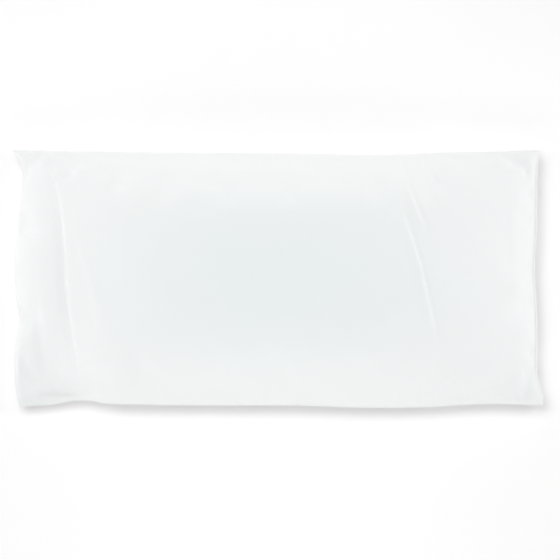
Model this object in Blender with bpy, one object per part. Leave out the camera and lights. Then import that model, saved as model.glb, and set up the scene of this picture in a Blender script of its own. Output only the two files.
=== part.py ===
"""A bed pillow, 400 x 800 mm before it is filled, lying flat on its lower panel.

It is built as it is sewn. Two woven ticking panels are turned through an opening in one short side,
so that their seam allowances lie face to face inside. Three sides are held by an overlocked safety
stitch: a needle thread over the allowances, a looper thread under them, and an overedge thread round
the raw edges. Inside lie three batts of carded fibre. The fourth side, at +X, was the opening: its
lip is pressed flat and topstitched through both panels, and it holds the care label.

The frame: +X along the length, towards the closing seam, +Z up, and the origin on the surface that
the pillow lies on, under its middle.
"""

import math

import bmesh
import bpy
from mathutils import Vector

# Driving dimensions, in metres.
LENGTH = 0.785            # corner to corner along X, filled
WIDTH = 0.380             # corner to corner along Y, filled
SEAM_HEIGHT = 0.042       # the seam's mid plane above the surface that the pillow lies on
CROWN = 0.070             # the upper panel's rise above the seam's mid plane
SHORT_SIDE_PULL = 0.007   # how far the filling draws in the middle of a short side
LONG_SIDE_PULL = 0.003    # and of a long side
CORNER_SHARPNESS = 6      # higher keeps a side straight for longer before its corners flare out

# How a panel curves: (1 - a ** power) ** ROUNDNESS, where a is 0 in the middle and 1 at the seam.
CROWN_POWERS = (2.4, 3.2)     # along the length and across the width
SAG_POWERS = (2.2, 2.0)
ROUNDNESS = 0.65
RESTING_PATCH = (0.56, 0.44)  # the share of the length and of the width that lies flat

# Cloth and seams.
CLOTH = 0.0008            # the ticking, with room for the crimp of its weave
SEAM_GAP = 0.0010         # between the two allowances, where the label's tail lies
SEAM_HALF = SEAM_GAP / 2 + CLOTH
LIP = 0.0015              # the pressed edge of a turned seam
CLOSING_LIP = 0.0045      # the pressed edge of the closing seam
ALLOWANCE = 0.010         # how far a seam allowance reaches in from the edge
CLEARANCE = 0.0004        # between pieces that touch
THREAD_RADIUS = 0.0004
SEAM_STITCH_INSET = 0.0045
TOPSTITCH_INSET = 0.0024
OVEREDGE_REACH = 0.0032   # how far the overedge thread covers the allowances
OVEREDGE_THREAD = 0.0006
RUN_OFF = 0.016           # a seam thread stops this far from the corners

# Fibre.
FIBRE_REACH = 0.94        # the share of the length and width that the fibre fills
CORNER_ROUNDING = 0.12    # how much less of it reaches into the corners
FIBRE_GAP = 0.0020        # between the ticking and the fibre
CORE_SHARE = 0.42         # the core batt's share of the height above and below the seam

# The care label.
LABEL_WIDTH = 0.035
LABEL_DROP = 0.037
LABEL_TAIL = 0.006        # how much of it the closing seam holds
LABEL_CLOTH = 0.0004
LABEL_PLACE = -0.62       # along the closing seam, from -1 to 1
LABEL_CLEAR = 0.0012      # how far beyond the seam's edge it turns down
LABEL_LEAN = 0.0035       # how far its free end hangs back inwards
LABEL_BENDS = 3           # the straight lengths that make its turn

PANEL_GRID = (24, 16)     # faces along and across a ticking panel
FIBRE_GRID = (14, 10)
SEAM_STEPS = 16
THREAD_SIDES = 6
WELD = 1e-6               # vertices closer together than this are one

UPPER, LOWER = 1, -1
DEPTH = {UPPER: CROWN, LOWER: SEAM_HEIGHT}
SIDES = {"front": (0, -1), "back": (0, 1), "left": (-1, 0), "right": (1, 0)}
CLOSING_SIDE = "right"


def clear_scene():
    for obj in list(bpy.data.objects):
        bpy.data.objects.remove(obj)


def material(name, colour, roughness):
    made = bpy.data.materials.new(name)
    made.use_nodes = True
    shader = made.node_tree.nodes["Principled BSDF"]
    shader.inputs["Base Color"].default_value = (*colour, 1)
    shader.inputs["Roughness"].default_value = roughness
    shader.inputs["Metallic"].default_value = 0
    return made


def finish(name, bm, look):
    """Makes the named object from a closed bmesh, with its faces pointing out."""
    bmesh.ops.recalc_face_normals(bm, faces=bm.faces)
    mesh = bpy.data.meshes.new(name)
    bm.to_mesh(mesh)
    bm.free()
    mesh.materials.append(look)
    mesh.shade_smooth()
    mesh.set_sharp_from_angle(angle=math.radians(50))
    obj = bpy.data.objects.new(name, mesh)
    bpy.context.scene.collection.objects.link(obj)
    return obj


def plan(u, v, inset=0.0, closing_inset=0.0):
    """The point at share u of the length and v of the width, each from -1 to 1, of the outline drawn
    in by inset, and by closing_inset more towards the closing side."""
    half_length = LENGTH / 2 - SHORT_SIDE_PULL * (1 - abs(v) ** CORNER_SHARPNESS) - inset
    half_width = WIDTH / 2 - LONG_SIDE_PULL * (1 - abs(u) ** CORNER_SHARPNESS) - inset
    if u > 0:
        half_length -= closing_inset
    return u * half_length, v * half_width


def fullness(side, u, v):
    """1 in the middle, and over the whole resting patch below, falling in a round curve to 0 at the
    seam."""
    powers, flats = (CROWN_POWERS, (0, 0)) if side == UPPER else (SAG_POWERS, RESTING_PATCH)
    share = 1.0
    for position, power, flat in zip((u, v), powers, flats):
        beyond = max(0.0, (abs(position) - flat) / (1 - flat))
        share *= max(0.0, 1 - beyond ** power) ** ROUNDNESS
    return share


def add_sheet(bm, grid, place):
    """Adds a grid with its vertices at place(u, v), closer together towards the rim, and returns
    the rim's edges. Each vertex keeps its u and v."""
    u_of = bm.verts.layers.float.get("u") or bm.verts.layers.float.new("u")
    v_of = bm.verts.layers.float.get("v") or bm.verts.layers.float.new("v")
    sheet = bmesh.ops.create_grid(bm, x_segments=grid[0], y_segments=grid[1], size=1.0)["verts"]
    for vert in sheet:
        vert[u_of], vert[v_of] = (math.sin(share * math.pi / 2) for share in vert.co.xy)
        vert.co = place(vert[u_of], vert[v_of])
    mine = set(sheet)
    return [edge for edge in bm.edges if edge.is_boundary and mine.issuperset(edge.verts)]


def extend_rim(bm, rim, place):
    """Extrudes the rim's edges to place(u, v), and returns the new rim."""
    u_of, v_of = bm.verts.layers.float["u"], bm.verts.layers.float["v"]
    grown = bmesh.ops.extrude_edge_only(bm, edges=rim)["geom"]
    for vert in grown:
        if isinstance(vert, bmesh.types.BMVert):
            vert.co = place(vert[u_of], vert[v_of])
    return [edge for edge in grown if isinstance(edge, bmesh.types.BMEdge) and edge.is_boundary]


def close_with_sheet(bm, grid, rim, place):
    """Closes the solid with a second grid at place(u, v), welded to the rim."""
    extend_rim(bm, rim, place)
    add_sheet(bm, grid, place)
    bmesh.ops.remove_doubles(bm, verts=bm.verts, dist=WELD)


def ticking_panel(name, side, look):
    """One panel of cloth: its dome, the pressed lip at the seam, and the allowance turned inwards."""
    wrong_face = SEAM_HEIGHT + side * SEAM_HALF     # of the allowance, towards the fibre
    right_face = SEAM_HEIGHT + side * SEAM_GAP / 2  # of the allowance, towards the other panel

    def dome(inset, cloth):
        rise = DEPTH[side] - SEAM_HALF - cloth

        def place(u, v):
            height = wrong_face + side * rise * fullness(side, u, v)
            return Vector((*plan(u, v, inset + cloth, CLOSING_LIP - LIP), height))
        return place

    def flat(inset, height):
        return lambda u, v: Vector((*plan(u, v, inset), height))

    bm = bmesh.new()
    rim = add_sheet(bm, PANEL_GRID, dome(LIP, 0))
    for inset, height in ((0, wrong_face), (0, right_face),
                          (ALLOWANCE, right_face), (ALLOWANCE, wrong_face)):
        rim = extend_rim(bm, rim, flat(inset, height))
    close_with_sheet(bm, PANEL_GRID, rim, dome(LIP, CLOTH))
    return finish(name, bm, look)


def fibre_face(side, face):
    """place(u, v) for a face of a batt above or below the seam: its "outer" face follows the
    ticking, and its "inner" face follows the "core"."""
    def place(u, v):
        u, v = (FIBRE_REACH * u * math.sqrt(1 - CORNER_ROUNDING * v * v),
                FIBRE_REACH * v * math.sqrt(1 - CORNER_ROUNDING * u * u))
        full = fullness(side, u, v)
        if face == "outer":
            depth = SEAM_HALF + (DEPTH[side] - SEAM_HALF - CLOTH) * full - FIBRE_GAP
        else:
            depth = CORE_SHARE * DEPTH[side] * full + (CLEARANCE if face == "inner" else 0)
        return Vector((*plan(u, v, LIP + CLOTH, CLOSING_LIP - LIP), SEAM_HEIGHT + side * depth))
    return place


def batt(name, upper_face, lower_face, look):
    """One layer of carded fibre."""
    bm = bmesh.new()
    rim = add_sheet(bm, FIBRE_GRID, upper_face)
    close_with_sheet(bm, FIBRE_GRID, rim, lower_face)
    return finish(name, bm, look)


def sweep(name, rings, look):
    """A closed solid through rings of points, each in the same order."""
    bm = bmesh.new()
    loops = [[bm.verts.new(point) for point in ring] for ring in rings]
    for near, far in zip(loops, loops[1:]):
        for here in range(len(near)):
            bm.faces.new((near[here - 1], near[here], far[here], far[here - 1]))
    bm.faces.new(loops[0])
    bm.faces.new(loops[-1])
    return finish(name, bm, look)


def run_along(name, side_name, profile, look):
    """Sweeps a profile of (inset, height above the seam) points along one side of the pillow."""
    end_u, end_v = 1 - 2 * RUN_OFF / LENGTH, 1 - 2 * RUN_OFF / WIDTH
    rings = []
    for step in range(SEAM_STEPS + 1):
        along = 2 * step / SEAM_STEPS - 1
        side_u, side_v = SIDES[side_name]
        u, v = side_u or along * end_u, side_v or along * end_v
        rings.append([Vector((*plan(u, v, inset), SEAM_HEIGHT + height)) for inset, height in profile])
    return sweep(name, rings, look)


def thread(name, side_name, inset, side, look):
    """A seam thread lying on the upper or lower face of the allowances."""
    height = side * (SEAM_HALF + CLEARANCE + THREAD_RADIUS)
    turns = [2 * math.pi * corner / THREAD_SIDES for corner in range(THREAD_SIDES)]
    profile = [(inset + THREAD_RADIUS * math.cos(turn), height + THREAD_RADIUS * math.sin(turn))
               for turn in turns]
    return run_along(name, side_name, profile, look)


def overedge_thread(name, side_name, look):
    """The thread wrapped round the raw edges of both allowances, as the channel that it forms."""
    near, far = SEAM_HALF + CLEARANCE, SEAM_HALF + CLEARANCE + OVEREDGE_THREAD
    start, edge = ALLOWANCE - OVEREDGE_REACH, ALLOWANCE + CLEARANCE
    profile = [(start, far), (edge + OVEREDGE_THREAD, far), (edge + OVEREDGE_THREAD, -far), (start, -far),
               (start, -near), (edge, -near), (edge, near), (start, near)]
    return run_along(name, side_name, profile, look)


def care_label(name, look):
    """A satin strip: its tail in the closing seam, a turn at the seam's edge, and its hanging end."""
    turn = [math.pi / 2 * bend / LABEL_BENDS for bend in range(LABEL_BENDS + 1)]
    path = [(-LABEL_TAIL, 0.0)]
    path += [(LABEL_CLEAR * math.sin(angle), LABEL_CLEAR * (math.cos(angle) - 1)) for angle in turn]
    path += [(LABEL_CLEAR - LABEL_LEAN, -LABEL_DROP)]
    half = LABEL_WIDTH / WIDTH
    rings = []
    for index, (beyond, drop) in enumerate(path):
        before, after = path[max(index - 1, 0)], path[min(index + 1, len(path) - 1)]
        along = Vector((after[0] - before[0], after[1] - before[1])).normalized()
        across = Vector((-along.y, along.x)) * LABEL_CLOTH / 2
        ring = []
        for place, face in ((-half, 1), (half, 1), (half, -1), (-half, -1)):
            edge_x, edge_y = plan(1, LABEL_PLACE + place)
            ring.append(Vector((edge_x + beyond + face * across.x, edge_y,
                                SEAM_HEIGHT + drop + face * across.y)))
        rings.append(ring)
    return sweep(name, rings, look)


def main():
    clear_scene()
    cotton = material("ticking_cotton", (0.86, 0.89, 0.89), 0.75)
    fibre = material("polyester_fibre", (0.90, 0.91, 0.91), 0.95)
    sewing = material("sewing_thread", (0.88, 0.89, 0.89), 0.55)
    satin = material("label_satin", (0.90, 0.90, 0.89), 0.40)

    ticking_panel("ticking_upper", UPPER, cotton)
    ticking_panel("ticking_lower", LOWER, cotton)
    batt("fibre_batt_upper", fibre_face(UPPER, "outer"), fibre_face(UPPER, "inner"), fibre)
    batt("fibre_core", fibre_face(UPPER, "core"), fibre_face(LOWER, "core"), fibre)
    batt("fibre_batt_lower", fibre_face(LOWER, "inner"), fibre_face(LOWER, "outer"), fibre)
    for side_name in SIDES:
        if side_name == CLOSING_SIDE:
            thread("closing_needle_thread", side_name, TOPSTITCH_INSET, UPPER, sewing)
            thread("closing_bobbin_thread", side_name, TOPSTITCH_INSET, LOWER, sewing)
        else:
            thread(f"needle_thread_{side_name}", side_name, SEAM_STITCH_INSET, UPPER, sewing)
            thread(f"looper_thread_{side_name}", side_name, SEAM_STITCH_INSET, LOWER, sewing)
            overedge_thread(f"overedge_thread_{side_name}", side_name, sewing)
    care_label("care_label", satin)


main()
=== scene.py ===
"""The looks of a white bed pillow, 400 x 800 mm before it was filled, that lies on its lower panel.

Both cloth panels are worked out on a grid: u runs from -1 to 1 along the length, v from -1 to 1
across the width, and the grid's rim is the seam. A crowned form within the seam's slightly wavy
outline is inflated by cloth simulation and folded by a few named creases. The fibre inside, the
stitches and the care label all take their places from the same surfaces.
"""

import math

import bpy
import numpy as np
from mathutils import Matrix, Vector, noise


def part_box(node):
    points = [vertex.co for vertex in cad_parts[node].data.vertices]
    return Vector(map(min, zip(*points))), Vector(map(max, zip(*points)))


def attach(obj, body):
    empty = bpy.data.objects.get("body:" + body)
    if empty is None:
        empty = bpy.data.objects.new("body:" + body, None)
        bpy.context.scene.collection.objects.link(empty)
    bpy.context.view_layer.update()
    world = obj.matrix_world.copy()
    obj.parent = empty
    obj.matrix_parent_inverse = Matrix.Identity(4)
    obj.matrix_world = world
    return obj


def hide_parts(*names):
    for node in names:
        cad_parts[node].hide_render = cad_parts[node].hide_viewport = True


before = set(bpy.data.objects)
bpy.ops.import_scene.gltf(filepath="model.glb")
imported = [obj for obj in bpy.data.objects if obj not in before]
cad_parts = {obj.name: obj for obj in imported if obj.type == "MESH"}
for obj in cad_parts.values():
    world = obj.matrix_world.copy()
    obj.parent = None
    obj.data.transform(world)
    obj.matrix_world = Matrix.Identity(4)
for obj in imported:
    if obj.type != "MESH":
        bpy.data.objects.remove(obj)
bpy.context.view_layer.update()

MM = 0.001

# The frame's sizes, in metres.
UPPER, LOWER = 1, -1
HALF_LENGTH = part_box("ticking_upper")[1].x
HALF_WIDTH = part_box("ticking_upper")[1].y
SEAM_HEIGHT = (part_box("ticking_upper")[0].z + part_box("ticking_lower")[1].z) / 2
DEPTH = {UPPER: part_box("ticking_upper")[1].z - SEAM_HEIGHT, LOWER: SEAM_HEIGHT}
SIDES = {                 # each side's place along u and along v
    "front": (0, -1), "back": (0, 1), "left": (-1, 0), "right": (1, 0),
}
CLOSING_SIDE = "right"

# The outline: how far the filling draws in the middle of each side, and how the seam wanders.
SHORT_SIDE_PULL = 7 * MM
LONG_SIDE_PULL = 3 * MM
CORNER_SHARPNESS = 6      # higher keeps the sides straighter and the corners sharper
WAVE_DECAY = 8            # higher keeps the seam's waves closer to the seam
SEAM_WAVES = {            # (place along the side from -1 to 1, mm outwards), from corner to corner
    "left": ((-1, -8), (-0.95, -3.3), (-0.72, 3.9), (-0.48, 3.2), (-0.31, -2.6), (-0.16, 1.8),
             (0.11, 4.8), (0.42, 0.3), (0.62, -3.0), (0.86, -8.8), (0.92, -7.0), (1, 2.6)),
    "right": ((-1, 1.5), (-0.91, 5.0), (-0.83, 1.0), (-0.40, 0.3), (-0.09, -2.6), (0.11, -4.1),
              (0.35, -1.3), (0.62, -1.3), (0.82, -1.8), (1, -3.7)),
    "front": ((-1, 0), (-0.86, -1.2), (-0.76, -6.6), (-0.64, -1.7), (-0.48, 0), (0.08, 1.5),
              (0.39, 4.2), (0.58, 2.9), (0.80, -2.3), (1, -1.5)),
    "back": ((-1, 1.4), (-0.82, 2.1), (-0.37, 0), (0.08, -1.5), (0.43, -3.0), (0.54, -1.6),
             (0.67, 0.4), (0.80, 0.7), (1, 1.6)),
}

# The crown: (1 - a ** power) ** ROUNDNESS, where a is 0 in the middle and 1 at the seam.
CROWN_POWERS = (2.4, 3.2)           # the upper panel's, along the length and across the width
SAG_POWERS = (2.2, 2.0)             # the lower panel's
ROUNDNESS = 0.65
RESTING_PATCH = (0.56, 0.44)        # the share of the lower panel that lies flat
APEX_SHIFT = 0.10                   # how far back the crown's top lies, in half widths

# Cloth and seams.
CLOTH = 0.45 * MM
SEAM_GAP = 0.3 * MM       # between the two panels where they meet
LIP = 0.7 * MM            # how far the pressed edge stands out past the filled cover
CLOSING_LIP = 4.5 * MM    # the same on the closing side, which is topstitched
ALLOWANCE = 10 * MM       # cloth turned inwards at the seam
THREAD = 0.22 * MM        # radius
THREAD_SIDES = 5
STITCH = 3.0 * MM         # pitch
TOPSTITCH_INSET = 2.4 * MM
SEAM_STITCH_INSET = 4.5 * MM
OVEREDGE_REACH = 3.2 * MM
LOOPER_SWING = 0.5 * MM   # how far the looper thread swings to either side
RUN_OFF = 16 * MM         # from the corner to the nearest stitch
SAMPLES = {               # points of the thread's path in each stitch
    "straight": 6, "topstitch": 8, "looper": 8, "overedge": 12,
}

# Meshes.
SHARP_ANGLE = math.radians(60)
GRID_SAMPLES = 4001                 # places at which the density of a grid's lines is added up
PANEL_GRID = {UPPER: (330, 130), LOWER: (200, 100)}     # faces along and across a panel
FIBRE_GRID = (80, 40)
SEAM_DENSITY = (1.8, 0.08)          # how many more grid lines run near the seam, and how far in
CREASE_DENSITY = 2.2                # how many more run across the creases
CREASE_BANDS = ((-0.81, 0.07), (0.55, 0.12))            # their places along u: middle, half width

# Fibre.
FIBRE_REACH = 0.94        # the share of the length and the width that it fills
FIBRE_GAP = 5 * MM        # between a panel and the fibre, at most
FIBRE_MARGIN = 0.35       # and as a share of the height between the panels, at most
LAYERS = {                # each layer's node, and where its two faces lie in the fibre's height
    "batt_lower": ("fibre_batt_lower", 0, 0.22),
    "batt_core": ("fibre_core", 0.225, 0.64),
    "batt_upper": ("fibre_batt_upper", 0.645, 1),
}
FLUFF = 0.2               # how uneven the fibre is, as a share of the room that is left beside it
FLUFF_SIZE = 25 * MM

# The care label.
LABEL_TAIL = 6 * MM       # held in the seam
LABEL_TURN = 1.0 * MM     # how far it stands out where it turns down
LABEL_LEAN = 3.5 * MM     # how far its end leans back under the pillow
LABEL_CURL = 1.5 * MM     # how far its end's edges curl out of its plane
LABEL_CLOTH = 0.25 * MM
LABEL_GRID = (36, 20)     # faces along and across it

# Materials. Colours are linear light, each from its lowest to its highest.
# The cotton's white, painted darker and cooler in the middle than at the rim: painted shade.
COTTON_AND_PAINTED_SHADE_COLOURS = ((0.783, 0.814, 0.812), (0.809, 0.816, 0.813))     # the middle's and the rim's
FIBRE_COLOURS = ((0.70, 0.71, 0.71), (0.92, 0.93, 0.93))
THREAD_COLOURS = ((0.66, 0.68, 0.68), (0.84, 0.86, 0.86))
SATIN_COLOURS = ((0.78, 0.78, 0.77), (0.84, 0.84, 0.83))
FLOOR_COLOURS = ((0.945, 0.925, 0.925), (0.955, 0.935, 0.935))
FLOOR_GLOW = (0.02, 0.75)           # round the pillow, and further out
GLOW_REACH = (1.0, 1.25)            # the distances from the middle between which it grows
WEAVE_PITCH = 0.5 * MM
TWIST_PITCH = 0.5 * MM
RIB_PITCH = 0.25 * MM
ALONG_SLUB, ACROSS_SLUB = 60, 1600              # how fast noise varies along and across a slub,
ALONG_STRAND, ACROSS_STRAND = 60, 900           # and along and across a strand of fibre
NOISE_RANGE = (0.3, 0.7)            # where most values of a noise texture lie

# The studio.
FLOOR_REACH = 6.0         # metres from the middle to each side
FLOOR_DROP = 0.3 * MM     # keeps the floor clear of the cloth that lies on it
SKY_COLOUR = (0.95, 1.0, 1.0)
SKY_STRENGTH = 0.365
SOFTBOXES = {             # place and size in metres, power in watts
    "key": ((-0.35, 0.45, 1.8), (0.9, 0.9), 15.1),
    "over_left_end": ((-0.6, 0.15, 0.8), (0.3, 0.3), 0.6),
    "over_right_end": ((0.6, 0.15, 0.8), (0.3, 0.3), 1.3),
    "over_front": ((0.0, -0.8, 0.6), (1.2, 0.3), 1.7),
    "low_left": ((-1.3, 0.0, 0.15), (1.2, 0.2), 4.0),
    "low_right": ((1.3, 0.0, 0.15), (1.2, 0.2), 4.4),
    "low_front": ((0.0, -1.2, 0.15), (1.6, 0.2), 3.6),
    "low_back": ((0.0, 1.2, 0.15), (1.6, 0.2), 3.5),
}
CAMERA_LENS = 100         # mm
CAMERA_SENSOR = 36        # mm
VIEW_WIDTH = 0.831        # metres across the view at the seam
CAMERA_AIM = (0.003, -0.0015)       # x and y of the point below the camera

# Cloth simulation, on a coarser grid.
SIMULATION_GRID = (48, 24)
SIMULATION_FRAMES = 20
PRESSURE = 4.0
SWELL_LIMIT = 3 * MM
CLOTH_EASE = 0.02         # how much larger the cloth is than the form that it starts on

# Small forms.
SEAM_WANDER = 1.0 * MM    # how far the seam rises and falls round the pillow
SEAM_SWAYS = ((5.1, 2.3, 0.7, 1), (11.7, -7.9, 2.0, 0.6))  # turn per u and per v, phase, share
SEAM_NEARNESS = 12        # higher keeps that to a narrower band beside the seam
CORNER_DROOP = 5 * MM
CORNER_NEARNESS = 5       # higher keeps that droop closer to the corners
CLOSING_DROOP = 2.2 * MM  # how far the closing seam's pressed lip hangs down at its edge
PUCKER = 0.35 * MM        # the height of the puckers beside the seam
PUCKERS = ((23 * MM, 0, 3, 1), (14.7 * MM, 1.3, 0, 0.6))   # wave length, phase, drift, share
PUCKER_DRIFT_LENGTH = 190 * MM
PUCKER_REACH = 9 * MM
CRUMPLE = 0.35 * MM       # the unevenness of cloth over fibre
CRUMPLE_SIZE = 60 * MM
NOISE_OCTAVES = 4
SEAM_HOLD = 5 * MM        # a crease fades out this close to the seam
CREASE_FADE = 0.6         # lower keeps a crease's height nearer to its ends
ROUTE_SAMPLES = 60
CREASES = {               # route in metres, then mm of height and of reach to its left and right
    "left_fold": (((-0.332, 0.158), (-0.321, 0.109), (-0.3152, 0.057), (-0.3112, -0.016),
                   (-0.3048, -0.075), (-0.298, -0.115), (-0.295, -0.142)), -3.0, 3.0, 9),
    "left_sag": (((-0.332, 0.150), (-0.315, 0.040), (-0.307, -0.060), (-0.295, -0.130)),
                 -4.5, 75, 30),
    "left_ridge": (((-0.296, 0.072), (-0.271, -0.016), (-0.253, -0.082)), 0.8, 14, 4),
    "left_crinkle": (((-0.229, 0.108), (-0.219, 0.027)), 0.4, 4, 4),
    "left_low_crinkle": (((-0.182, -0.103), (-0.172, -0.140)), 0.4, 4, 4),
    "front_corner_sag": (((-0.385, -0.150), (-0.335, -0.160), (-0.270, -0.166)), -2.5, 30, 16),
    "left_front_finger": (((-0.356, -0.020), (-0.353, -0.080), (-0.345, -0.160)), -2.2, 9, 7),
    "right_upper_ridge": (((0.180, 0.159), (0.191, 0.125), (0.203, 0.093), (0.214, 0.069)),
                          1.5, 3, 9),
    "right_upper_valley": (((0.185, 0.159), (0.196, 0.125), (0.208, 0.093), (0.219, 0.069)),
                           -1.3, 3, 3),
    "right_lower_ridge": (((0.177, 0.099), (0.202, 0.027), (0.215, -0.029), (0.228, -0.088)),
                          1.5, 3, 9),
    "right_lower_valley": (((0.182, 0.099), (0.207, 0.027), (0.220, -0.029), (0.233, -0.088)),
                           -1.5, 3, 3),
    "right_crinkle": (((0.223, 0.174), (0.237, 0.141)), 0.8, 4, 4),
    "right_break": (((0.341, 0.148), (0.346, 0.057), (0.352, -0.030), (0.360, -0.104)), 1.5, 20, 8),
    "right_fibre_bump": (((0.238, -0.006), (0.279, -0.002)), 0.6, 5, 5),
    "back_seam_fold": (((0.136, 0.187), (0.161, 0.181), (0.188, 0.179)), -1.5, 3, 5),
    "back_seam_second_fold": (((0.239, 0.183), (0.266, 0.179)), -1.2, 3, 5),
}
HOLLOWS = {               # middle and reach in metres, and the share of the crown missing there
    "left_front_shelf": ((-0.340, -0.145), (0.055, 0.062), 0.65),
    "front_left_corner": ((-0.325, -0.172), (0.060, 0.026), 0.95),
    "front_right_corner": ((0.352, -0.172), (0.035, 0.020), 0.4),
}
DISH_MIDDLE = (-0.325, -0.177)      # the front left corner, where the whole pillow sinks
DISH_REACH = (0.058, 0.015)
DISH_DEPTH = 15 * MM


# ---- Curves and grids ----------------------------------------------------------------------------

def smooth_curve(knots, at):
    """The heights at `at` of the smooth curve through (place, height) knots."""
    places, heights = np.array(knots, float).T
    slopes = np.gradient(heights, places)
    step = np.clip(np.searchsorted(places, at) - 1, 0, len(places) - 2)
    span = places[step + 1] - places[step]
    t = np.clip((at - places[step]) / span, 0, 1)
    ease = t * t * (3 - 2 * t)
    return (heights[step] * (1 - ease) + heights[step + 1] * ease
            + span * (slopes[step] * t * (1 - t) ** 2 - slopes[step + 1] * t * t * (1 - t)))


def grid_lines(count, bands=()):
    """count + 1 places from -1 to 1, closer together towards the ends and in the bands."""
    fine = np.linspace(-1, 1, GRID_SAMPLES)
    extra, reach = SEAM_DENSITY
    density = 1 + extra * np.exp((np.abs(fine) - 1) / reach)
    for middle, half_band in bands:
        density = density + CREASE_DENSITY * np.exp(-((fine - middle) / half_band) ** 4)
    total = np.concatenate([[0], np.cumsum(density[1:] + density[:-1])])
    return np.interp(np.linspace(0, 1, count + 1), total / total[-1], fine)


def grid(size, bands=()):
    """u and v of a grid's points, as arrays of rows across and columns along."""
    return np.meshgrid(grid_lines(size[0], bands), grid_lines(size[1]))


def rim_walk(size):
    """(row, column) of the points round a grid's rim, once round, counterclockwise from above."""
    columns, rows = size
    walk = [(0, column) for column in range(columns)]
    walk += [(row, columns) for row in range(rows)]
    walk += [(rows, column) for column in range(columns, 0, -1)]
    walk += [(row, 0) for row in range(rows, 0, -1)]
    return tuple(np.array(walk).T)


# ---- The pillow's form ---------------------------------------------------------------------------

def plan(u, v, inset=0.0, closing_inset=0.0):
    """x and y of the point at share u of the length and v of the width, with the outline drawn in
    by inset, and by closing_inset more towards the closing side."""
    half_length = HALF_LENGTH - SHORT_SIDE_PULL * (1 - abs(v) ** CORNER_SHARPNESS) - inset
    half_width = HALF_WIDTH - LONG_SIDE_PULL * (1 - abs(u) ** CORNER_SHARPNESS) - inset
    half_length = half_length - closing_inset * (u > 0)
    x, y = u * half_length, v * half_width
    for name, (side_u, side_v) in SIDES.items():
        along, towards = (v, u * side_u) if side_u else (u, v * side_v)
        wave = MM * smooth_curve(SEAM_WAVES[name], along) * ((1 + towards) / 2) ** WAVE_DECAY
        x, y = x + side_u * wave, y + side_v * wave
    return x, y


def fullness(side, u, v):
    """1 over the middle, falling in a round curve to 0 at the seam."""
    v = v - (APEX_SHIFT * (1 - v * v) if side == UPPER else 0)
    powers, flats = (CROWN_POWERS, (0, 0)) if side == UPPER else (SAG_POWERS, RESTING_PATCH)
    share = 1.0
    for place, power, flat in zip((u, v), powers, flats):
        beyond = np.clip((np.abs(place) - flat) / (1 - flat), 0, 1)
        share = share * (1 - beyond ** power) ** ROUNDNESS
    return share


def seam_height(u, v):
    """The height of the plane between the panels, which wanders and droops towards the seam."""
    nearness = 1 - (1 - u ** SEAM_NEARNESS) * (1 - v ** SEAM_NEARNESS)
    wander = sum(share * np.sin(per_u * u + per_v * v + phase)
                 for per_u, per_v, phase, share in SEAM_SWAYS)
    droop = CORNER_DROOP * np.abs(u * v) ** CORNER_NEARNESS
    return SEAM_HEIGHT + SEAM_WANDER * wander * nearness - droop


def crowned(side, u, v):
    """The panel's points before it is inflated and creased."""
    lip = SEAM_GAP / 2 + CLOTH
    x, y = plan(u, v, LIP, CLOSING_LIP - LIP)
    z = seam_height(u, v) + side * (lip + (DEPTH[side] - lip) * fullness(side, u, v))
    return np.stack([x, y, z], axis=-1)


def quads(size, first=0, flip=False):
    """The faces of a grid of points that starts at vertex `first`."""
    columns, rows = size
    row, column = np.meshgrid(np.arange(rows), np.arange(columns), indexing="ij")
    corner = (first + row * (columns + 1) + column).ravel()
    faces = np.stack([corner, corner + 1, corner + columns + 2, corner + columns + 1], axis=1)
    return faces[:, ::-1] if flip else faces


def inflated(points, faces, held):
    """The points of a closed cloth cover after it is blown up with the held ones fixed."""
    mesh = bpy.data.meshes.new("inflating_cover")
    mesh.from_pydata(points.tolist(), [], faces.tolist())
    made = bpy.data.objects.new("inflating_cover", mesh)
    bpy.context.scene.collection.objects.link(made)
    made.vertex_groups.new(name="held").add(held.tolist(), 1.0, "REPLACE")

    cloth = made.modifiers.new("inflate", "CLOTH")
    cloth.settings.quality = 6
    cloth.settings.tension_stiffness = 15
    cloth.settings.compression_stiffness = 15
    cloth.settings.shear_stiffness = 5
    cloth.settings.bending_stiffness = 1
    cloth.settings.shrink_min = -CLOTH_EASE
    cloth.settings.use_pressure = True
    cloth.settings.uniform_pressure_force = PRESSURE
    cloth.settings.vertex_group_mass = "held"
    cloth.settings.effector_weights.gravity = 0
    cloth.collision_settings.use_collision = False
    cloth.point_cache.frame_end = SIMULATION_FRAMES
    for step in range(1, SIMULATION_FRAMES + 1):
        bpy.context.scene.frame_set(step)
    result = made.evaluated_get(bpy.context.evaluated_depsgraph_get()).data
    moved = np.array([vert.co for vert in result.vertices])
    bpy.data.objects.remove(made)
    bpy.context.scene.frame_set(1)
    return moved


def simulated_swell():
    """How far each point of the coarse grid moves when the crowned cover is blown up with its seam
    held: {side: rows x columns x 3}."""
    u, v = grid(SIMULATION_GRID)
    panels = {side: crowned(side, u, v) for side in (UPPER, LOWER)}
    rim = rim_walk(SIMULATION_GRID)
    seam = (panels[UPPER][rim] + panels[LOWER][rim]) / 2
    for panel in panels.values():
        panel[rim] = seam

    count = u.size
    on_rim = np.zeros(u.shape, bool)
    on_rim[rim] = True
    index = np.arange(count).reshape(u.shape)
    welded = np.where(on_rim, index, index + count).ravel()
    points = np.concatenate([panels[UPPER].reshape(-1, 3), panels[LOWER].reshape(-1, 3)])
    faces = np.concatenate([quads(SIMULATION_GRID), welded[quads(SIMULATION_GRID, flip=True)]])
    used, faces = np.unique(faces, return_inverse=True)
    moved = points.copy()
    moved[used] = inflated(points[used], faces.reshape(-1, 4), index[on_rim])

    swell = moved - points
    far = np.linalg.norm(swell, axis=1, keepdims=True)
    swell *= SWELL_LIMIT * np.tanh(far / SWELL_LIMIT) / np.maximum(far, 1e-9)
    swell = swell.reshape(2, *u.shape, 3)
    return {UPPER: swell[0], LOWER: swell[1] * ~on_rim[..., None]}


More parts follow.
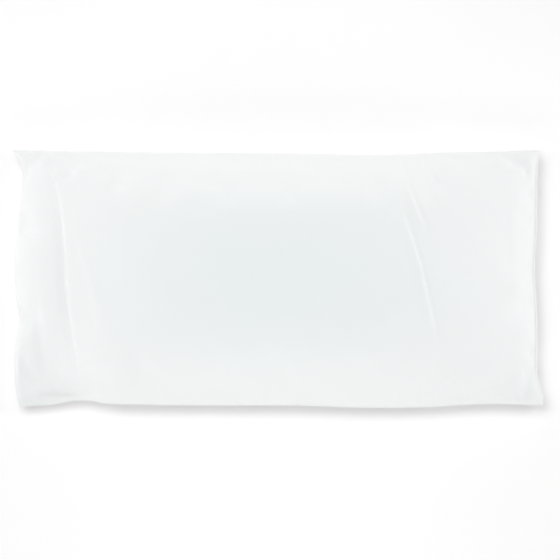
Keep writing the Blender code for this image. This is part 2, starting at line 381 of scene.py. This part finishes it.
def cubic_weights(lines, at):
    """A matrix that takes values at the grid lines to smooth values at `at`."""
    share = (len(lines) - 1) * np.interp(at, lines, np.linspace(0, 1, len(lines)))
    step = np.minimum(share.astype(int), len(lines) - 2)
    t = share - step
    weights = np.zeros((len(at), len(lines)))
    for offset, weight in ((-1, -t / 2 + t ** 2 - t ** 3 / 2), (0, 1 - 2.5 * t ** 2 + 1.5 * t ** 3),
                           (1, t / 2 + 2 * t ** 2 - 1.5 * t ** 3), (2, (t ** 3 - t ** 2) / 2)):
        np.add.at(weights, (np.arange(len(at)), np.clip(step + offset, 0, len(lines) - 1)), weight)
    return weights


def normals(points, side):
    """Each grid point's outward normal."""
    along, across = np.gradient(points, axis=1), np.gradient(points, axis=0)
    normal = side * np.cross(along, across)
    return normal / np.linalg.norm(normal, axis=-1, keepdims=True)


def near(x, y, middle, reach):
    """1 at the middle, fading to 0 beyond its reach along x and along y."""
    return np.exp(-((x - middle[0]) / reach[0]) ** 2 - ((y - middle[1]) / reach[1]) ** 2)


def sunk(points):
    """The points, lowered where a corner of the pillow sinks."""
    lowered = points.copy()
    lowered[..., 2] -= DISH_DEPTH * near(points[..., 0], points[..., 1], DISH_MIDDLE, DISH_REACH)
    return lowered


def crease(route, height, left, right, x, y):
    """The height of one crease at x and y: a bump along the smooth route, or a groove where height
    is below 0, with flanks that reach left and right of it and ends that fade out."""
    share = np.linspace(0, 1, len(route))
    t = np.linspace(0, 1, ROUTE_SAMPLES)
    path_x, path_y = (smooth_curve(list(zip(share, part)), t) for part in zip(*route))
    step_x, step_y = np.gradient(path_x), np.gradient(path_y)
    away_x, away_y = x[..., None] - path_x, y[..., None] - path_y
    nearest = np.argmin(away_x ** 2 + away_y ** 2, axis=-1)[..., None]
    away = [np.take_along_axis(part, nearest, -1)[..., 0] for part in (away_x, away_y)]
    nearest = nearest[..., 0]
    to_left = step_x[nearest] * away[1] - step_y[nearest] * away[0] > 0
    flank = np.where(to_left, left, right)
    fade = np.sin(math.pi * t[nearest]) ** CREASE_FADE
    return height * fade * np.exp(-(away[0] ** 2 + away[1] ** 2) / flank ** 2)


def puckers(x, y, u, v):
    """The height of the small waves that the stitches draw into the cloth beside the seam."""
    height = 0
    for along, to_seam in ((x, HALF_WIDTH * (1 - np.abs(v))), (y, HALF_LENGTH * (1 - np.abs(u)))):
        drifting = np.sin(along * math.tau / PUCKER_DRIFT_LENGTH)
        wave = sum(share * np.sin(along * math.tau / length + phase + drift * drifting)
                   for length, phase, drift, share in PUCKERS)
        height = height + wave * np.exp(-to_seam / PUCKER_REACH) * to_seam / (to_seam + LIP)
    return PUCKER * height


def uneven(points, size, fineness, fading):
    """Noise at each point, with features of about the given size. Each octave of it is finer than
    the one before by the factor fineness, and weaker by that factor to the power of fading."""
    values = [noise.fractal(Vector(point) / size, fading, fineness, NOISE_OCTAVES)
              for point in points.reshape(-1, 3)]
    return np.reshape(values, points.shape[:-1])


def cover(side, u_lines, v_lines):
    """The finished outer surface of a panel, at each crossing of the grid lines."""
    u, v = np.meshgrid(u_lines, v_lines)
    points = crowned(side, u, v)
    if SWELL:
        along = cubic_weights(grid_lines(SIMULATION_GRID[0]), u_lines)
        across = cubic_weights(grid_lines(SIMULATION_GRID[1]), v_lines)
        points += np.einsum("ij,jkc,lk->ilc", across, SWELL[side], along)
    x, y = points[..., 0], points[..., 1]
    if side == UPPER:
        lowest = seam_height(u, v) + SEAM_GAP / 2 + CLOTH
        for middle, reach, share in HOLLOWS.values():
            points[..., 2] -= share * near(x, y, middle, reach) * (points[..., 2] - lowest)
    height = puckers(x, y, u, v)
    if side == UPPER:
        for route, rise, left, right in CREASES.values():
            height = height + crease(route, rise * MM, left * MM, right * MM, x, y)
    to_seam = np.minimum(HALF_LENGTH * (1 - np.abs(u)), HALF_WIDTH * (1 - np.abs(v)))
    height = height + CRUMPLE * uneven(points, CRUMPLE_SIZE, fineness=2.1, fading=0.9)
    height = height * (1 - np.exp(-(to_seam / SEAM_HOLD) ** 2))
    points = sunk(points + height[..., None] * normals(points, side))
    points[..., 2] = np.maximum(points[..., 2], 0)
    return points


# ---- Meshes --------------------------------------------------------------------------------------

def piece(name, points, faces, look, cad_node):
    """A smooth-shaded mesh that rides on the pillow's one body and stands for its CAD node."""
    mesh = bpy.data.meshes.new(name)
    mesh.from_pydata(points.tolist(), [], [list(map(int, face)) for face in faces])
    mesh.shade_smooth()
    mesh.set_sharp_from_angle(angle=SHARP_ANGLE)
    mesh.materials.append(look)
    made = bpy.data.objects.new(name, mesh)
    bpy.context.scene.collection.objects.link(made)
    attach(made, "root")
    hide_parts(cad_node)
    return made


def shell(size, outer, loops, inner, flip=False):
    """Points and faces of a closed skin: an outer grid, rings round its rim, and an inner grid.
    Flipped, the outer grid is the one below."""
    rim = rim_walk(size)
    ring = len(rim[0])
    start = outer.shape[0] * outer.shape[1]
    points = [outer.reshape(-1, 3), *loops, inner.reshape(-1, 3)]
    inner_start = start + ring * len(loops)
    rings = [np.ravel_multi_index(rim, outer.shape[:2])]
    rings += [start + ring * number + np.arange(ring) for number in range(len(loops))]
    rings += [inner_start + rings[0]]
    faces = [quads(size, flip=flip), quads(size, inner_start, flip=not flip)]
    for this, following in zip(rings, rings[1:]):
        strip = np.stack([this, following, np.roll(following, -1), np.roll(this, -1)], axis=1)
        faces.append(strip[:, ::-1] if flip else strip)
    return np.concatenate(points), np.concatenate(faces)


def seam_points(u, v, inset, height, closing_inset=0.0):
    """Points at the seam, drawn in from its edge by inset, and height above its mid plane. The lip
    of the closing side droops towards its edge."""
    x, y = plan(u, v, inset, closing_inset)
    droop = CLOSING_DROOP * (u == 1) * np.clip(1 - (inset + closing_inset) / CLOSING_LIP, 0, 1)
    return sunk(np.stack([x, y, seam_height(u, v) - droop + height], axis=-1))


def cover_panel(name, side, look, cad_node):
    """One cloth panel: its dome, the rounded lip at the seam, and the allowance turned inwards."""
    size = PANEL_GRID[side]
    u, v = grid(size, CREASE_BANDS if side == UPPER else ())
    outer = cover(side, u[0], v[:, 0])
    inner = outer - CLOTH * normals(outer, side)
    rim = rim_walk(size)
    right_face, wrong_face = SEAM_GAP / 2, SEAM_GAP / 2 + CLOTH
    inner[rim] = seam_points(u[rim], v[rim], LIP + CLOTH, side * wrong_face, CLOSING_LIP - LIP)
    rounded_lip = ((0.6 * CLOTH, wrong_face), (0.1 * CLOTH, right_face + 0.6 * CLOTH),
                   (0, right_face + 0.3 * CLOTH), (0.4 * CLOTH, right_face))
    allowance = ((CLOSING_LIP, right_face), (ALLOWANCE, right_face), (ALLOWANCE, wrong_face))
    loops = [seam_points(u[rim], v[rim], inset, side * height)
             for inset, height in (*rounded_lip, *allowance)]
    points, faces = shell(size, outer, loops, inner, flip=side == LOWER)
    made = piece(name, points, faces, look, cad_node)


def fibre_layers(look):
    """The batts of fibre, one on another, in the room between the two panels."""
    lines = [FIBRE_REACH * grid_lines(count) for count in FIBRE_GRID]
    lowest = cover(LOWER, *lines)
    room = cover(UPPER, *lines) - lowest
    margin = np.minimum(FIBRE_GAP / room[..., 2:], FIBRE_MARGIN)

    def face(share):
        """The slightly uneven surface at this share of the fibre's height."""
        points = lowest + (margin + share * (1 - 2 * margin)) * room
        fluff = uneven(points, FLUFF_SIZE, fineness=2.2, fading=0.8)[..., None]
        return points + FLUFF * margin * room * fluff

    for name, (cad_node, low, high) in LAYERS.items():
        points, faces = shell(FIBRE_GRID, face(high), [], face(low))
        made = piece(name, points, faces, look, cad_node)


def tube(path, radius, up, sides):
    """Points and faces of a thread along a path. Its rings are squared to the direction `up`."""
    along = np.gradient(path, axis=0)
    along /= np.linalg.norm(along, axis=1, keepdims=True)
    across = np.cross(along, up)
    across /= np.linalg.norm(across, axis=1, keepdims=True)
    above = np.cross(across, along)
    turn = np.arange(sides) * math.tau / sides
    rings = path[:, None] + radius * (np.cos(turn)[:, None] * across[:, None]
                                      + np.sin(turn)[:, None] * above[:, None])
    first = np.arange(len(path) - 1)[:, None] * sides + np.arange(sides)
    following = np.arange(len(path) - 1)[:, None] * sides + np.roll(np.arange(sides), -1)
    walls = np.stack([first, following, following + sides, first + sides], axis=-1).reshape(-1, 4)
    last = (len(path) - 1) * sides
    caps = [list(range(sides))[::-1], [last + corner for corner in range(sides)]]
    return rings.reshape(-1, 3), [*walls.tolist(), *caps]


def seam_thread(name, side_name, look, cad_node, route, samples, up):
    """A thread sewn along one side. route gives its inset, its height above the seam's mid plane
    and its step along the side, in stitches, at each share of a stitch."""
    side_u, side_v = SIDES[side_name]
    half = HALF_WIDTH if side_u else HALF_LENGTH
    stitches = int(2 * (half - RUN_OFF) / STITCH)
    share = np.arange(stitches * samples + 1) / samples
    inset, height, step = route(share % 1)
    place = (share + step - stitches / 2) * STITCH / half
    u, v = (np.full_like(place, side_u), place) if side_u else (place, np.full_like(place, side_v))
    path = seam_points(u, v, inset, height)
    points, faces = tube(path, THREAD, up, THREAD_SIDES)
    piece(name, points, faces, look, cad_node)


def flattened(wave, steepness):
    """A wave from -1 to 1 with its tops cut off flat, the longer the steeper it is."""
    return np.clip(steepness * wave, -1, 1)


def straight_stitch(inset, face):
    """Flat stitches on one face of the seam, each end pulled down into its hole."""
    in_hole = SEAM_GAP / 2 - THREAD
    on_cloth = SEAM_GAP / 2 + CLOTH + 1.4 * THREAD

    def route(share):
        rise = flattened(np.sin(math.pi * share), 3.2)
        height = in_hole + (on_cloth - in_hole) * rise
        return np.full_like(share, inset), face * height, np.zeros_like(share)
    return route


def looper_stitch(inset):
    """The loops of a chain stitch under the seam."""
    def route(share):
        swing = np.sin(math.tau * share)
        drop = SEAM_GAP / 2 + CLOTH + THREAD * (1.6 + 0.8 * np.cos(math.tau * share))
        back_and_forth = 0.25 * np.sin(2 * math.tau * share)
        return inset + LOOPER_SWING * swing, -drop, back_and_forth
    return route


def overedge_stitch():
    """A loop over the allowances, round their raw edges and back below."""
    middle = ALLOWANCE - OVEREDGE_REACH / 2 + 1.5 * THREAD
    reach = OVEREDGE_REACH / 2 + 3 * THREAD
    half_thick = SEAM_GAP / 2 + CLOTH + 2 * THREAD

    def route(share):
        turn = math.tau * share
        inset = middle + reach * flattened(np.cos(turn), 1.25)
        height = half_thick * flattened(np.sin(turn), 1.8)
        slant = 0.2 * np.sin(turn)
        return inset, height, slant
    return route


def sew_sides(look):
    """The safety stitch and overedge of three sides, and the lockstitch of the closing side."""
    upwards = (0, 0, 1)
    for name, (side_u, side_v) in SIDES.items():
        along_seam = (abs(side_v), abs(side_u), 0)
        if name == CLOSING_SIDE:
            seam_thread("closing_stitches_top", name, look, "closing_needle_thread",
                        straight_stitch(TOPSTITCH_INSET, UPPER), SAMPLES["topstitch"], upwards)
            seam_thread("closing_stitches_under", name, look, "closing_bobbin_thread",
                        straight_stitch(TOPSTITCH_INSET, LOWER), SAMPLES["topstitch"], upwards)
        else:
            seam_thread(f"needle_stitches_{name}", name, look, f"needle_thread_{name}",
                        straight_stitch(SEAM_STITCH_INSET, UPPER), SAMPLES["straight"], upwards)
            seam_thread(f"looper_stitches_{name}", name, look, f"looper_thread_{name}",
                        looper_stitch(SEAM_STITCH_INSET), SAMPLES["looper"], upwards)
            seam_thread(f"overedge_stitches_{name}", name, look, f"overedge_thread_{name}",
                        overedge_stitch(), SAMPLES["overedge"], along_seam)


def care_label(look):
    """A blank satin ribbon: its tail in the closing seam, its turn at the edge, its hanging end."""
    low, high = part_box("care_label")
    across = np.linspace(low.y, high.y, LABEL_GRID[1] + 1)
    drop = SEAM_HEIGHT - CLOSING_DROOP - low.z
    along = np.linspace(-LABEL_TAIL, drop, LABEL_GRID[0] + 1)[:, None]
    inside, hang = np.clip(-along, 0, None), np.clip(along, 0, None)
    held = seam_points(np.ones_like(across), across / HALF_WIDTH, inside, np.zeros_like(across))
    turn = LABEL_TURN * (1 - np.exp(-hang / LABEL_TURN))
    curl = LABEL_CURL * (hang / drop) ** 2 * np.cos(math.pi * (across - low.y) / (high.y - low.y))
    x = held[..., 0] + turn + curl - LABEL_LEAN * (hang / drop) ** 1.5
    z = held[..., 2] - np.maximum(hang - turn, 0)
    middle = np.stack([x, held[..., 1], z], axis=-1)
    normal = normals(middle, UPPER)
    front, back = middle + LABEL_CLOTH / 2 * normal, middle - LABEL_CLOTH / 2 * normal
    points, faces = shell(LABEL_GRID[::-1], front, [], back)
    made = piece("care_ribbon", points, faces, look, "care_label")


# ---- Materials -----------------------------------------------------------------------------------

class Nodes:
    """A material's node tree, with short calls that add and join its nodes."""

    def __init__(self, name, roughness, sheen=0.0):
        self.material = bpy.data.materials.new(name)
        self.material.use_nodes = True
        self.tree = self.material.node_tree
        self.shader = self.tree.nodes["Principled BSDF"]
        self.shader.inputs["Roughness"].default_value = roughness
        self.shader.inputs["Sheen Weight"].default_value = sheen
        self.shader.inputs["Sheen Roughness"].default_value = 0.5
        self.shader.inputs["Specular IOR Level"].default_value = 0.3
        self.position = self.add("ShaderNodeTexCoord").outputs["Object"]

    def add(self, kind, inputs=(), **settings):
        """A new node, whose inputs are given as values or as the sockets that lead to them."""
        node = self.tree.nodes.new(kind)
        for name, value in settings.items():
            setattr(node, name, value)
        for name, value in dict(inputs).items():
            if isinstance(value, bpy.types.NodeSocket):
                self.tree.links.new(value, node.inputs[name])
            else:
                node.inputs[name].default_value = value
        return node

    def stretched(self, scale):
        """The position, multiplied along each axis."""
        return self.add("ShaderNodeVectorMath", {0: self.position, 1: scale},
                        operation="MULTIPLY").outputs["Vector"]

    def length(self, vector):
        return self.add("ShaderNodeVectorMath", {0: vector}, operation="LENGTH").outputs["Value"]

    def noise(self, scale, detail, vector=None):
        """Smooth noise, mostly within NOISE_RANGE."""
        return self.add("ShaderNodeTexNoise", {"Vector": vector or self.position, "Scale": scale,
                                               "Detail": detail}).outputs["Fac"]

    def threads(self, direction, pitch, wobble, wobble_scale=0.3):
        """Ribs `pitch` metres apart, as the threads of a cloth make."""
        return self.add("ShaderNodeTexWave", {
            "Vector": self.position, "Scale": math.tau / 20 / pitch, "Distortion": wobble,
            "Detail": 1.0, "Detail Scale": wobble_scale}, bands_direction=direction).outputs["Fac"]

    def math(self, operation, first, second):
        node = self.add("ShaderNodeMath", {0: first, 1: second}, operation=operation)
        return node.outputs["Value"]

    def surface_colours(self, share, places, colours):
        """Gives the surface two colours: share turns the one into the other between its places."""
        ramp = self.add("ShaderNodeValToRGB", {"Fac": share})
        for element, place, colour in zip(ramp.color_ramp.elements, places, colours):
            element.position = place
            element.color = (*colour, 1)
        self.tree.links.new(ramp.outputs["Color"], self.shader.inputs["Base Color"])

    def bump(self, *layers):
        """Stacks (height, distance in metres, strength) bumps, coarse ones first."""
        normal = None
        for height, distance, strength in layers:
            inputs = {"Height": height, "Distance": distance, "Strength": strength}
            if normal:
                inputs["Normal"] = normal
            normal = self.add("ShaderNodeBump", inputs).outputs["Normal"]
        self.tree.links.new(normal, self.shader.inputs["Normal"])


def percale():
    """Plain-woven white cotton: warp, weft and slubs, and a white painted darker and cooler in the
    middle as painted shade.
    """
    nodes = Nodes("percale", roughness=0.8, sheen=0.25)
    warp = nodes.threads("X", WEAVE_PITCH, wobble=0.6)
    weft = nodes.threads("Y", WEAVE_PITCH, wobble=0.6)
    weave = nodes.math("MULTIPLY", warp, weft)
    warp_slubs = nodes.noise(1, 2.0, nodes.stretched((ACROSS_SLUB, ALONG_SLUB, ALONG_SLUB)))
    weft_slubs = nodes.noise(1, 2.0, nodes.stretched((ALONG_SLUB, ACROSS_SLUB, ALONG_SLUB)))
    slubs = nodes.math("ADD", warp_slubs, weft_slubs)
    # Painted shade: the cotton is darker and cooler towards the middle and lighter towards the rim,
    # with random blotches.
    painted_shade_fade = nodes.length(nodes.stretched((1 / HALF_LENGTH, 1 / HALF_WIDTH, 0)))
    blotches = nodes.math("MULTIPLY", nodes.noise(scale=9, detail=4.0), 0.5)
    nodes.surface_colours(nodes.math("ADD", painted_shade_fade, blotches), (0.4, 1.0), COTTON_AND_PAINTED_SHADE_COLOURS)
    waviness = nodes.noise(scale=70, detail=3.0)
    nodes.bump((waviness, 1.2 * MM, 0.12), (slubs, 0.08 * MM, 0.4), (weave, 0.05 * MM, 0.7))
    return nodes.material


def carded_fibre():
    """Crimped white fibre, combed mostly along the length."""
    nodes = Nodes("carded_fibre", roughness=0.95, sheen=0.5)
    strands = nodes.noise(1, 6.0, nodes.stretched((ALONG_STRAND, ACROSS_STRAND, ACROSS_STRAND)))
    nodes.surface_colours(strands, NOISE_RANGE, FIBRE_COLOURS)
    nodes.bump((nodes.noise(scale=90, detail=4.0), 3 * MM, 0.5), (strands, 0.4 * MM, 0.7))
    return nodes.material


def sewing_thread():
    """Two plies of spun thread, twisted."""
    nodes = Nodes("sewing_thread", roughness=0.55, sheen=0.3)
    twist = nodes.threads("DIAGONAL", TWIST_PITCH, wobble=1.0, wobble_scale=1.0)
    nodes.surface_colours(twist, (0, 1), THREAD_COLOURS)
    nodes.bump((twist, 0.08 * MM, 0.5))
    return nodes.material


def satin():
    """Blank woven satin ribbon, ribbed across."""
    nodes = Nodes("satin", roughness=0.4, sheen=0.2)
    ribs = nodes.threads("Z", RIB_PITCH, wobble=0.6)
    nodes.surface_colours(nodes.noise(scale=120, detail=3.0), NOISE_RANGE, SATIN_COLOURS)
    nodes.bump((nodes.noise(scale=160, detail=2.0), 0.5 * MM, 0.1), (ribs, 0.03 * MM, 0.4))
    return nodes.material


def light_table():
    """Matte white acrylic, lit from below, and more so away from the pillow."""
    nodes = Nodes("light_table", roughness=0.9)
    nodes.surface_colours(nodes.noise(scale=3, detail=2.0), NOISE_RANGE, FLOOR_COLOURS)
    glow = nodes.add("ShaderNodeMapRange", {
        "Value": nodes.length(nodes.position), "From Min": GLOW_REACH[0], "From Max": GLOW_REACH[1],
        "To Min": FLOOR_GLOW[0], "To Max": FLOOR_GLOW[1]}, interpolation_type="SMOOTHSTEP")
    nodes.shader.inputs["Emission Color"].default_value = (1, 1, 1, 1)
    nodes.tree.links.new(glow.outputs["Result"], nodes.shader.inputs["Emission Strength"])
    return nodes.material


# ---- The studio ----------------------------------------------------------------------------------

def floor():
    """The plain square that the pillow lies on."""
    corners = [(FLOOR_REACH * x, FLOOR_REACH * y, -FLOOR_DROP)
               for x, y in ((-1, -1), (1, -1), (1, 1), (-1, 1))]
    mesh = bpy.data.meshes.new("floor")
    mesh.from_pydata(corners, [], [(0, 1, 2, 3)])
    mesh.materials.append(light_table())
    made = bpy.data.objects.new("floor", mesh)
    bpy.context.scene.collection.objects.link(made)


def softbox(name, place, size, power):
    """A rectangular white light at place, turned to the middle of the floor."""
    light = bpy.data.lights.new(name, "AREA")
    light.shape = "RECTANGLE"
    light.size, light.size_y = size
    light.energy = power
    made = bpy.data.objects.new(name, light)
    made.location = place
    made.rotation_euler = Vector(place).to_track_quat("Z", "Y").to_euler()
    bpy.context.scene.collection.objects.link(made)


def lights():
    """A pale sky and the softboxes."""
    world = bpy.data.worlds.new("studio")
    world.use_nodes = True
    background = world.node_tree.nodes["Background"]
    background.inputs["Color"].default_value = (*SKY_COLOUR, 1)
    background.inputs["Strength"].default_value = SKY_STRENGTH
    bpy.context.scene.world = world
    for name, light in SOFTBOXES.items():
        softbox(name, *light)


def camera():
    """Looks straight down on the pillow, whose length nearly fills the view."""
    lens = bpy.data.cameras.new("camera")
    lens.lens, lens.sensor_width = CAMERA_LENS, CAMERA_SENSOR
    made = bpy.data.objects.new("camera", lens)
    distance = VIEW_WIDTH * CAMERA_LENS / CAMERA_SENSOR
    made.location = (*CAMERA_AIM, SEAM_HEIGHT + distance)
    bpy.context.scene.collection.objects.link(made)
    bpy.context.scene.camera = made
    bpy.context.scene.view_settings.view_transform = "Standard"


# ---- The pillow ----------------------------------------------------------------------------------

camera()
SWELL = simulated_swell()
cotton = percale()
cover_panel("cover_upper", UPPER, cotton, "ticking_upper")
cover_panel("cover_lower", LOWER, cotton, "ticking_lower")
fibre_layers(carded_fibre())
sew_sides(sewing_thread())
care_label(satin())
floor()
lights()
